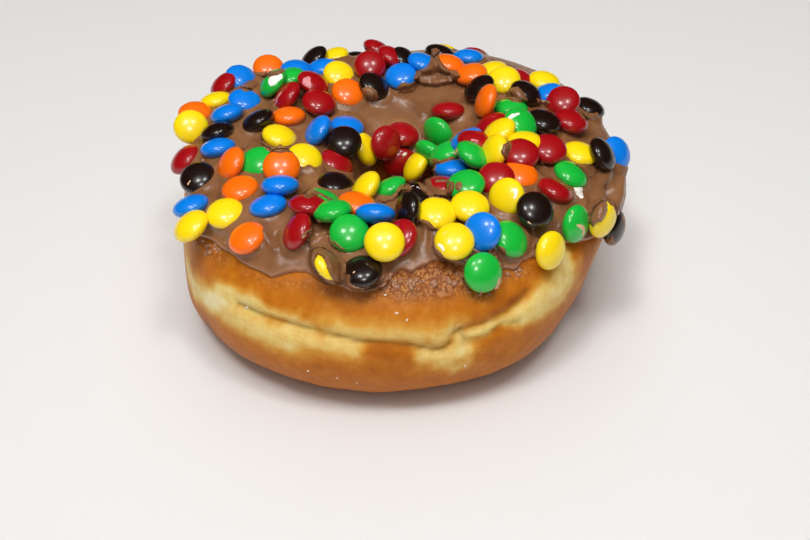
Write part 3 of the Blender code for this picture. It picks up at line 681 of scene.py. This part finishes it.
def lay_candies(surface):
    """Every candy as its colour, middle and short axis."""
    laid = []
    for seat in SEATS:
        laid.append(seat_candy(seat, surface, laid))
    draw = random.Random(SEED)
    for _ in range(BACK_TRIES):
        candy = back_candy(draw, surface, laid)
        if candy:
            laid.append(candy)
        if len(laid) == len(SEATS) + BACK_CANDIES:
            break
    return laid


# Meshes

def ring_sheet(turns, swings):
    """A flat sheet to be rolled up into a ring, with its points' turns and angles round the section."""
    shape = bmesh.new()
    bmesh.ops.create_grid(shape, x_segments=turns, y_segments=swings, size=1.0)
    flat = np.array([vertex.co for vertex in shape.verts])
    return shape, math.pi * flat[:, 0], math.pi * flat[:, 1]


def roll_up(shape, points, numbers):
    """Move the sheet's points to the ring, give each its numbers for the materials, and close the seams."""
    layers = [(shape.verts.layers.float.new(name), values) for name, values in numbers.items()]
    for place, vertex in enumerate(shape.verts):
        vertex.co = points[place]
        for layer, values in layers:
            vertex[layer] = values[place]
    bmesh.ops.remove_doubles(shape, verts=shape.verts, dist=SEAM_GAP)
    bmesh.ops.recalc_face_normals(shape, faces=shape.faces)


def finished(shape, name, material, *nodes):
    """A bmesh as a smooth piece of the doughnut, which stands for the named nodes."""
    mesh = bpy.data.meshes.new(name)
    shape.to_mesh(mesh)
    shape.free()
    mesh.shade_smooth()
    mesh.materials.append(material)
    piece = bpy.data.objects.new(name, mesh)
    bpy.context.scene.collection.objects.link(piece)
    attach(piece, "root")
    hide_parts(*nodes)
    return piece


def browning_of(points, swing, surface):
    """How brown the crust is at each point: pale round the waist, and as the strokes say in front."""
    waist = WAIST_SWING + layered(points, WAIST_LAYERS)
    brown = CRUST_BROWN - WAIST_PALE * bell(swing - waist, WAIST_WIDTH) + layered(points, BROWN_LAYERS)
    turn = np.arctan2(points[:, 1], points[:, 0])
    front = np.clip(FRONT_FULLNESS * bell(angle_between(turn, FRONT_TURN), FRONT_WIDTH), 0, 1)
    brown = brown + (CRUST_BROWN - brown) * front
    ragged = layered(points, STROKE_LAYERS)
    for stroke in BROWNING:
        share = stroke_share(points, surface, stroke, BROWNING_SHARPNESS, ragged)
        brown = brown + (stroke.value - brown) * share
    return np.clip(brown + layered(points, FINE_LAYERS), 0, 1)


def plain_ring(lift):
    """The dough's skin without its creases, or lifted clear of it, for bringing paths onto it."""
    shape, turn, swing = ring_sheet(PLAIN_TURNS, PLAIN_SWINGS)
    roll_up(shape, dough_points(turn, swing, lift)[0], {})
    surface = BVHTree.FromBMesh(shape)
    shape.free()
    return surface


def flake_ridges(points):
    """The thin ridges between torn flakes of crust."""
    total = 0.0
    for height, size, place, sharpness in FLAKE_RIDGES:
        total = total + height * np.clip(1 - sharpness * np.abs(lumps(points, size, place)), 0, 1)
    return total


def make_dough(surface, material):
    """The fried dough, with its creases, its torn crust, its browning and the painted shade in its creases.
    """
    shape, turn, swing = ring_sheet(DOUGH_TURNS, DOUGH_SWINGS)
    points, outward = dough_points(turn, swing)
    relief = layered(points, CRUST_LAYERS)
    crease_shade = np.zeros(len(points))
    for crease in CREASES:
        gaps = gaps_to(points, sighted_path(surface, crease.path))
        bottom = bell(gaps, crease.half * MM)
        shoulders = bell(gaps, CREASE_SPREAD * crease.half * MM)
        depth = CREASE_BOTTOM * bottom + (1 - CREASE_BOTTOM) * shoulders
        relief = relief - crease.value * MM * depth
        # Painted shade: each crease is darkened most at its bottom, fading out over a short way
        crease_shade = np.maximum(crease_shade, np.exp(-gaps / CREASE_SHADE_FADE))
    flaky = np.zeros(len(points))
    for stroke in FLAKY:
        share = stroke_share(points, surface, stroke, FORM_SHARPNESS)
        flaky = np.maximum(flaky, stroke.value * share)
    relief = relief + FLAKE_HEIGHT * flaky * flake_ridges(points)
    points = points + outward * relief[:, None]
    points[:, 2] = np.maximum(points[:, 2], 0.0)
    numbers = {"browning": browning_of(points, swing, surface), "crease_shade": crease_shade, "flaky": flaky}
    roll_up(shape, points, numbers)
    dough = finished(shape, "dough_crust", material, "dough_ring")
    return dough


def plain_border(turn):
    """The swing where the frosting ends on the outer side, as the solids have it away from the front."""
    border = OUTER_BORDER + BORDER_WAVE * np.sin(7 * turn) * np.sin(2 * turn + 1)
    for middle, rise, width in BORDER_LOBES:
        border = border + rise * DEGREE * bell(angle_between(turn, middle * DEGREE), width * DEGREE)
    return border


def evening_kernel(reach):
    """Weights that even out a row of numbers over this many steps each way."""
    kernel = bell(np.arange(-2 * reach, 2 * reach + 1), reach)
    return kernel / kernel.sum()


def sighted_border(surface):
    """The front border as turns and swings, in order of turn."""
    points = sighted_path(surface, BORDER_PATH) - np.array(RING_AXIS)
    turns = np.arctan2(points[:, 1], points[:, 0]) % math.tau
    heights = np.clip((points[:, 2] - SECTION_MIDDLE) / SECTION_HALF_HEIGHT, -1, 1)
    swings = np.arcsin(np.sign(heights) * np.abs(heights) ** (SECTION_FULLNESS / 2))
    order = np.argsort(turns)
    turns = turns[order]
    swings = swings[order]
    even = np.arange(turns[0], turns[-1], BORDER_STEP)
    padded = np.pad(np.interp(even, turns, swings), 2 * BORDER_EVENED, mode="edge")
    return even, np.convolve(padded, evening_kernel(BORDER_EVENED), mode="valid")


def outer_border(turn, turns, swings):
    """The swing where the frosting ends: as sighted along the front, and plain elsewhere."""
    turn = turn % math.tau
    plain = plain_border(turn)
    front = np.interp(turn, turns, swings)
    share = np.clip((turn - turns[0]) / BORDER_FADE + 1, 0, 1)
    share = share * np.clip((turns[-1] - turn) / BORDER_FADE + 1, 0, 1)
    return plain + (front - plain) * share


def meniscus(points, laid):
    """How much the frosting climbs at each point, from 1 against a candy to 0 well away from any."""
    climb = np.zeros(len(points))
    for _, middle, axis in laid:
        near = np.all(np.abs(points - np.array(middle)) < CANDY_WIDTH, axis=1)
        offset = points[near] - np.array(middle)
        along = offset @ np.array(axis)
        distance = np.sqrt((offset ** 2).sum(axis=1))
        across = np.sqrt(np.maximum(distance ** 2 - along ** 2, 0.0))
        ratio = np.sqrt((across / (CANDY_WIDTH / 2)) ** 2 + (along / (CANDY_THICKNESS / 2)) ** 2)
        gap = np.maximum((1 - 1 / np.maximum(ratio, 0.01)) * distance, 0.0)
        climb[near] = np.maximum(climb[near], bell(gap, MENISCUS_REACH))
    return climb


def make_frosting(surface, raised, laid, material):
    """The frosting, over the top of the ring and back along its underside, which lies in the crust."""
    shape, turn, round_section = ring_sheet(FROSTING_TURNS, FROSTING_SWINGS)
    share = (round_section % math.tau) / math.tau
    over = share / FROSTING_TOP_SHARE
    under = 1 + (share - FROSTING_TOP_SHARE) / (1 - FROSTING_TOP_SHARE)
    angle = math.pi * np.where(share < FROSTING_TOP_SHARE, over, under)
    start = outer_border(turn, *sighted_border(surface))
    end = INNER_BORDER + BORDER_WAVE * np.sin(5 * turn + 2)
    swing = start + (end - start) * (1 - np.cos(angle)) / 2
    ragged = noise_round(turn, BORDER_LAYERS)
    swing = swing + ragged * bell(swing - start, RAGGED_REACH)
    inside = np.minimum(swing - start - ragged, end - swing) * SECTION_HALF_WIDTH
    rounded = np.sqrt(np.maximum(1 - (1 - np.clip(inside / EDGE_ROUND, 0, 1)) ** 2, 0))
    grown = np.clip(inside / EDGE_RUN, 0, 1)
    grown = grown * grown * (3 - 2 * grown)
    thick = FROSTING_EDGE * rounded + (FROSTING_THICKNESS - FROSTING_EDGE) * grown
    on_top = np.sin(angle) > 0
    lift = np.where(on_top, thick, 0.0) - FROSTING_SUNK * (1 - rounded * on_top)
    points, outward = dough_points(turn, swing, lift)
    flow = layered(points, FLOW_LAYERS)
    for form in FROSTING_FORMS:
        flow = flow + form.value * MM * stroke_share(points, raised, form, FORM_SHARPNESS)
    relief = (flow * grown + MENISCUS * meniscus(points, laid) * rounded) * on_top
    points = points + outward * relief[:, None]
    edge = bell(np.minimum(swing - start, end - swing), PALE_EDGE)
    roll_up(shape, points, {"edge": edge})
    frosting = finished(shape, "frosting_cap", material, "candied_frosting")
    return frosting


def skin_of(pieces):
    """The pieces' skins together, for finding what the eye sees."""
    shape = bmesh.new()
    for piece in pieces:
        shape.from_mesh(piece.data)
    skin = BVHTree.FromBMesh(shape)
    shape.free()
    return skin


def depth_inside(pixels, smear):
    """How far inside a smear each pixel lies, in pixels: less than nothing outside it."""
    path = np.array(smear.path, dtype=float)
    ends = path[1:] if smear.half else np.roll(path, -1, axis=0)
    starts = path[:len(ends)]
    along = ends - starts
    offset = pixels[:, None, :] - starts
    share = np.clip((offset * along).sum(axis=2) / (along ** 2).sum(axis=1), 0, 1)
    gaps = np.sqrt(((offset - share[:, :, None] * along) ** 2).sum(axis=2)).min(axis=1)
    if smear.half:
        return smear.half - gaps
    level = pixels[:, None, 1]
    spanned = (starts[:, 1] > level) != (ends[:, 1] > level)
    slope = along[:, 0] / np.where(along[:, 1] == 0, 1, along[:, 1])
    crossed = spanned & (pixels[:, None, 0] < starts[:, 0] + (level - starts[:, 1]) * slope)
    return np.where(crossed.sum(axis=1) % 2 == 1, gaps, -gaps)


def blurred(grid, reach):
    """The grid with each number evened out with those around it."""
    kernel = evening_kernel(reach)
    padded = np.pad(grid, 2 * reach, mode="edge")
    rows = np.apply_along_axis(np.convolve, 1, padded, kernel, "valid")
    return np.apply_along_axis(np.convolve, 0, rows, kernel, "valid")


def seen_ranges(rays, skin):
    """How far from the eye each ray meets the skin, and nan where it misses."""
    eye = eye_place()
    return np.array([skin.ray_cast(eye, Vector(ray))[3] or np.nan for ray in rays], dtype=float)


def past_rims(ground):
    """A grid of ranges, with each candy's rim carried one step out over the drop beside it."""
    rows, columns = ground.shape
    padded = np.pad(ground, 1, mode="edge")
    shifted = [padded[row:row + rows, column:column + columns] for row in range(3) for column in range(3)]
    nearest = np.min(shifted, axis=0)
    return np.where(ground - nearest > SMEAR_LEAP / 2, nearest, ground)


def leaps_in(grid):
    """The greater of each number's steps to the next along and the next down."""
    down = np.abs(np.diff(grid, axis=0, append=grid[-1:]))
    across = np.abs(np.diff(grid, axis=1, append=grid[:, -1:]))
    return np.maximum(down, across)


def lay_smear(shape, smear, skin):
    """A closed sheet over what the eye sees within the smear, rounded off and sunk in at its edge."""
    path = np.array(smear.path, dtype=float)
    low = path.min(axis=0) - smear.half - SMEAR_MARGIN
    high = path.max(axis=0) + smear.half + SMEAR_MARGIN
    across, down = np.meshgrid(*[np.arange(low[part], high[part], SMEAR_STEP) for part in (0, 1)])
    pixels = np.stack((across.ravel(), down.ravel()), axis=1)
    wander = lumps(np.pad(pixels, ((0, 0), (0, 1))), SMEAR_RAGGED_SIZE)
    inside = depth_inside(pixels, smear) + SMEAR_RAGGED * min(smear.half or 1, 1) * wander
    rays = np.array([sight(*pixel) for pixel in pixels])
    ranges = seen_ranges(rays, skin)
    ground = past_rims(np.where(np.isnan(ranges), np.nanmax(ranges), ranges).reshape(across.shape))
    raised = np.clip(blurred(ground, SMEAR_DRAPE), ground - SMEAR_BRIDGE, ground)
    leaping = (leaps_in(raised) > SMEAR_LEAP).astype(float)
    parted = np.clip(2 * blurred(leaping, SMEAR_PARTING), 0, 1).ravel()
    settled = np.clip(inside / SMEAR_EDGE, 0, 1) * (1 - SMEAR_THINNED * parted)
    known = ground.ravel()
    bridged = raised.ravel()
    surface = known - (known - bridged) * settled * min(1, smear.thick)
    eye = np.array(eye_place())
    uneven = 1 + layered(eye + rays * surface[:, None], SMEAR_LAYERS)
    rise = settled * (1 + settled * (1 - settled)) * uneven
    top = surface - smear.thick * MM * rise + SMEAR_SUNK * np.clip(1 - inside, 0, 1)
    tops = {}
    unders = {}
    for number in np.flatnonzero((inside > -1) & ~np.isnan(ranges)):
        tops[number] = shape.verts.new(eye + rays[number] * top[number])
        unders[number] = shape.verts.new(eye + rays[number] * (known[number] + SMEAR_UNDER))
    columns = across.shape[1]
    edges = set()
    for number in tops:
        corners = (number, number + 1, number + columns + 1, number + columns)
        if number % columns == columns - 1 or not all(corner in tops for corner in corners):
            continue
        if np.ptp(bridged[list(corners)]) < SMEAR_LEAP:
            shape.faces.new([tops[corner] for corner in corners])
            shape.faces.new([unders[corner] for corner in reversed(corners)])
            edges.update(zip(corners, corners[1:] + corners[:1]))
    for start, end in edges:
        if (end, start) not in edges:
            shape.faces.new((tops[end], tops[start], unders[start], unders[end]))


def make_smears(name, rows, skin, material):
    """Smears that lie on the frosting's and the candies' skin, as one piece."""
    shape = bmesh.new()
    for row in rows:
        lay_smear(shape, Smear(*row), skin)
    loose = [vertex for vertex in shape.verts if not vertex.link_faces]
    bmesh.ops.delete(shape, geom=loose, context="VERTS")
    bmesh.ops.recalc_face_normals(shape, faces=shape.faces)
    return finished(shape, name, material, "candied_frosting")


def make_crumbs(name, scatters, skin, material, node):
    """Small uneven crumbs that lie where the eye sees their pixels, each pressed in a little."""
    draw = random.Random(SEED)
    shape = bmesh.new()
    edge = shape.verts.layers.float.new("edge")
    for scatter in scatters:
        for _ in range(scatter.count):
            across = scatter.across + scatter.half_across * max(-1, min(1, draw.gauss(0, CRUMB_SPREAD)))
            down = scatter.down + scatter.half_down * max(-1, min(1, draw.gauss(0, CRUMB_SPREAD)))
            place, normal, _, _ = skin.ray_cast(eye_place(), sight(across, down))
            if place is None:
                continue
            size = draw.uniform(scatter.least, scatter.most) * MM
            turn = Vector((0, 0, 1)).rotation_difference(normal).to_matrix().to_4x4()
            spin = Matrix.Rotation(draw.uniform(0, math.tau), 4, "Z")
            stretch = Matrix.Diagonal((*[size * share for share in CRUMB_FLATNESS], 1))
            crumb = bmesh.ops.create_icosphere(shape, subdivisions=1, radius=1.0)["verts"]
            for vertex in crumb:
                vertex[edge] = 1.0
                vertex.co = vertex.co * draw.uniform(*CRUMB_UNEVENNESS)
            seated = Matrix.Translation(place) @ turn @ spin @ stretch
            bmesh.ops.transform(shape, verts=crumb, matrix=seated)
    return finished(shape, name, material, node)


def candy_ball():
    """One candy, lying flat at the origin."""
    shape = bmesh.new()
    bmesh.ops.create_uvsphere(shape, u_segments=CANDY_SIDES, v_segments=CANDY_RINGS, radius=CANDY_WIDTH / 2)
    bmesh.ops.scale(shape, verts=shape.verts, vec=(1, 1, CANDY_THICKNESS / CANDY_WIDTH))
    ball = bpy.data.meshes.new("candy ball")
    shape.to_mesh(ball)
    shape.free()
    return ball


def make_candies(laid, colour, material):
    """All the candies of one colour, each turned to its axis."""
    ball = candy_ball()
    shape = bmesh.new()
    for candy_colour, middle, axis in laid:
        if candy_colour == colour:
            turn = Vector((0, 0, 1)).rotation_difference(axis).to_matrix().to_4x4()
            back = min(max(middle.y / (RING_RADIUS + SECTION_HALF_WIDTH), 0), 1)
            shrunk = Matrix.Scale(CANDY_SHARE - BACK_SHARE * back, 4)
            candy = ball.copy()
            candy.transform(Matrix.Translation(middle) @ turn @ shrunk)
            shape.from_mesh(candy)
            bpy.data.meshes.remove(candy)
    bpy.data.meshes.remove(ball)
    return finished(shape, "candies_" + colour, material, "candied_frosting")


# Materials

def new_material(name, looks):
    """A material, its node tree, and its shader, which has the looks given by socket."""
    material = bpy.data.materials.new(name)
    material.use_nodes = True
    tree = material.node_tree
    tree.nodes.clear()
    shader = add_node(tree, "ShaderNodeBsdfPrincipled", looks)
    add_node(tree, "ShaderNodeOutputMaterial", {"Surface": shader.outputs["BSDF"]})
    return material, tree, shader


def roughen(tree, shader, place, size, detail, fineness, strength, depth):
    """Give a shader an uneven surface, with grains of this size and depth."""
    grain = add_node(
        tree, "ShaderNodeTexNoise",
        {"Vector": place, "Scale": 1 / size, "Detail": detail, "Roughness": fineness})
    bump = add_node(
        tree, "ShaderNodeBump",
        {"Height": grain.outputs["Fac"], "Strength": strength, "Distance": depth})
    tree.links.new(bump.outputs["Normal"], shader.inputs["Normal"])


def fried_dough():
    """Yeast dough fried in fat: a thin crust with a greasy satin, cream where it stayed clear of the fat,
    with painted shade in its creases and between its torn flakes.
    """
    material, tree, shader = new_material("fried yeast dough", {
        "Roughness": 0.46, "IOR": 1.36, "Specular IOR Level": 0.3, "Subsurface Weight": 0.12,
        "Subsurface Radius": (3.0 * MM, 1.4 * MM, 0.6 * MM), "Subsurface Scale": 1.0})
    place = add_node(tree, "ShaderNodeTexCoord").outputs["Object"]
    brown = add_node(tree, "ShaderNodeAttribute", attribute_name="browning").outputs["Fac"]
    mottle = add_node(
        tree, "ShaderNodeTexNoise",
        {"Vector": place, "Scale": 1 / (2.8 * MM), "Detail": 6.0, "Roughness": 0.66})
    shift = add_node(
        tree, "ShaderNodeMath", {0: mottle.outputs["Fac"], 1: 0.40, 2: -0.20}, operation="MULTIPLY_ADD")
    level = add_node(tree, "ShaderNodeMath", {0: brown, 1: shift.outputs[0]}, operation="ADD")
    colour = add_node(
        tree, "ShaderNodeValToRGB", {"Fac": level.outputs[0]},
        stops=((0.0, "#F3E6B8"), (1.0, "#5E2B0C"), (0.18, "#E6C878"), (0.38, "#D69A3C"), (0.62, "#BE6E12"),
               (0.82, "#A4560A")))
    # Painted shade in the creases: the crust there is mixed towards a dark olive brown
    crease_shade = add_node(tree, "ShaderNodeAttribute", attribute_name="crease_shade").outputs["Fac"]
    faded = add_node(tree, "ShaderNodeMath", {0: crease_shade, 1: 0.6}, operation="MULTIPLY")
    shaded = add_node(
        tree, "ShaderNodeMix",
        {"Factor": faded.outputs[0], "A": colour.outputs["Color"], "B": paint("#7A5418")}, data_type="RGBA")
    flaky = add_node(tree, "ShaderNodeAttribute", attribute_name="flaky").outputs["Fac"]
    flakes = add_node(
        tree, "ShaderNodeTexNoise",
        {"Vector": place, "Scale": 1 / (1.5 * MM), "Detail": 4.0, "Roughness": 0.6})
    # The torn crust is stained by frosting, with thin dark lines of painted shade between its flakes
    torn = add_node(
        tree, "ShaderNodeValToRGB", {"Fac": flakes.outputs["Fac"]},
        stops=((0.34, "#C08A4E"), (0.44, "#9C5C26"), (0.49, "#5C2A12"), (0.52, "#8C4E22"),
               (0.60, "#B67C48"), (0.68, "#8A5230")))
    stained_and_shaded = add_node(
        tree, "ShaderNodeMix",
        {"Factor": flaky, "A": shaded.outputs["Result"], "B": torn.outputs["Color"]}, data_type="RGBA")
    tree.links.new(stained_and_shaded.outputs["Result"], shader.inputs["Base Color"])
    roughen(tree, shader, place, 0.9 * MM, 4.0, 0.65, 0.35, 0.25 * MM)
    return material


def milk_chocolate_frosting():
    """Milk chocolate frosting, spread warm and set: a satin skin with a paler, thin edge."""
    material, tree, shader = new_material("milk chocolate frosting", {
        "Roughness": 0.31, "IOR": 1.5, "Subsurface Weight": 0.08,
        "Subsurface Radius": (1.6 * MM, 0.8 * MM, 0.5 * MM), "Subsurface Scale": 1.0})
    place = add_node(tree, "ShaderNodeTexCoord").outputs["Object"]
    edge = add_node(tree, "ShaderNodeAttribute", attribute_name="edge").outputs["Fac"]
    cloud = add_node(
        tree, "ShaderNodeTexNoise",
        {"Vector": place, "Scale": 1 / (7 * MM), "Detail": 5.0, "Roughness": 0.55})
    body = add_node(
        tree, "ShaderNodeValToRGB", {"Fac": cloud.outputs["Fac"]},
        stops=((0.30, "#744A2C"), (0.75, "#966843")))
    colour = add_node(
        tree, "ShaderNodeMix", {"Factor": edge, "A": body.outputs["Color"], "B": paint("#A9795C")},
        data_type="RGBA")
    tree.links.new(colour.outputs["Result"], shader.inputs["Base Color"])
    roughen(tree, shader, place, 1.4 * MM, 3.0, 0.5, 0.3, 0.25 * MM)
    return material


def sugar_shell(colour):
    """Panned sugar shell, polished with wax: a deep even colour under a soft gloss, not quite even."""
    material, tree, shader = new_material(colour + " sugar shell", {
        "Base Color": paint(CANDY_COLOURS[colour]), "Roughness": 0.3, "IOR": 1.47,
        "Coat Weight": 0.5, "Coat Roughness": 0.1})
    place = add_node(tree, "ShaderNodeTexCoord").outputs["Object"]
    roughen(tree, shader, place, 2.4 * MM, 2.0, 0.5, 0.25, 0.15 * MM)
    return material


def worn_sugar(name, hex_colour):
    """The sugar under a candy's polish, where it was rubbed or chipped: pale, dry and a little rough."""
    material, tree, shader = new_material(
        name + " bare sugar", {"Base Color": paint(hex_colour), "Roughness": 0.45})
    place = add_node(tree, "ShaderNodeTexCoord").outputs["Object"]
    roughen(tree, shader, place, 0.6 * MM, 3.0, 0.6, 0.3, 0.1 * MM)
    return material


def painted_board():
    """Board with matt emulsion rolled on: pale, plain and without gloss."""
    return new_material("matt painted board", {"Base Color": paint("#E0DEDC"), "Roughness": 0.6})[0]


# Floor, light and camera

def make_floor():
    shape = bmesh.new()
    bmesh.ops.create_grid(shape, x_segments=1, y_segments=1, size=FLOOR_SIZE)
    bmesh.ops.translate(shape, verts=shape.verts, vec=(0, 0, -FLOOR_DROP))
    mesh = bpy.data.meshes.new("floor")
    shape.to_mesh(mesh)
    shape.free()
    mesh.materials.append(painted_board())
    floor = bpy.data.objects.new("floor", mesh)
    bpy.context.scene.collection.objects.link(floor)


def add_soft_light(name, place, size, power, missed):
    """A square soft box that faces the doughnut and is missed by one kind of ray, or by none."""
    light = bpy.data.lights.new(name, "AREA")
    light.shape = "SQUARE"
    light.size = size
    light.energy = power
    lamp = bpy.data.objects.new(name, light)
    bpy.context.scene.collection.objects.link(lamp)
    lamp.location = place
    lamp.rotation_euler = (LIGHT_AIM - Vector(place)).to_track_quat("-Z", "Y").to_euler()
    lamp.visible_diffuse = missed != "diffuse"
    lamp.visible_glossy = missed != "glossy"


def make_lights():
    for row in LIGHTS:
        add_soft_light(*row)
    world = bpy.data.worlds.new("white room")
    bpy.context.scene.world = world
    world.use_nodes = True
    sky = world.node_tree.nodes["Background"]
    sky.inputs["Color"].default_value = SKY_COLOUR
    sky.inputs["Strength"].default_value = SKY_STRENGTH
    world.cycles_visibility.glossy = False
    bpy.context.scene.view_settings.view_transform = "Standard"


def make_camera():
    right, above, forward = view_axes()
    camera = bpy.data.cameras.new("camera")
    camera.lens = VIEW_LENS
    camera.sensor_width = VIEW_SENSOR
    camera.clip_start = 10 * MM
    holder = bpy.data.objects.new("camera", camera)
    bpy.context.scene.collection.objects.link(holder)
    turned = Matrix((right, above, -forward)).transposed().to_4x4()
    holder.matrix_world = Matrix.Translation(eye_place()) @ turned
    bpy.context.scene.camera = holder


def cad_surface(node):
    """A CAD node's skin, for casting rays and finding the nearest point."""
    shape = bmesh.new()
    shape.from_mesh(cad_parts[node].data)
    surface = BVHTree.FromBMesh(shape)
    shape.free()
    return surface


def main():
    laid = lay_candies(cad_surface("dough_ring"))
    surface = plain_ring(0.0)
    raised = plain_ring(FROSTING_THICKNESS)
    chocolate = milk_chocolate_frosting()
    pieces = [make_dough(surface, fried_dough()), make_frosting(surface, raised, laid, chocolate)]
    for colour in CANDY_COLOURS:
        pieces.append(make_candies(laid, colour, sugar_shell(colour)))
    skin = skin_of(pieces)
    smears = make_smears("frosting_smears", SMEARS["frosting"], skin, chocolate)
    for colour, hex_colour in WORN_SUGAR.items():
        make_smears("worn_sugar_" + colour, SMEARS[colour], skin, worn_sugar(colour, hex_colour))
    skin = skin_of(pieces + [smears])
    crumbs = make_crumbs("frosting_crumbs", FROSTING_CRUMBS, skin, chocolate, "candied_frosting")
    # Pale specks, partly painted glints and a painted highlight on a candy
    make_crumbs("glaze_specks_and_glints", SPECKS_AND_GLINTS, skin, worn_sugar("speck", "#F1E6D2"), "dough_ring")
    make_floor()
    make_lights()
    make_camera()


main()
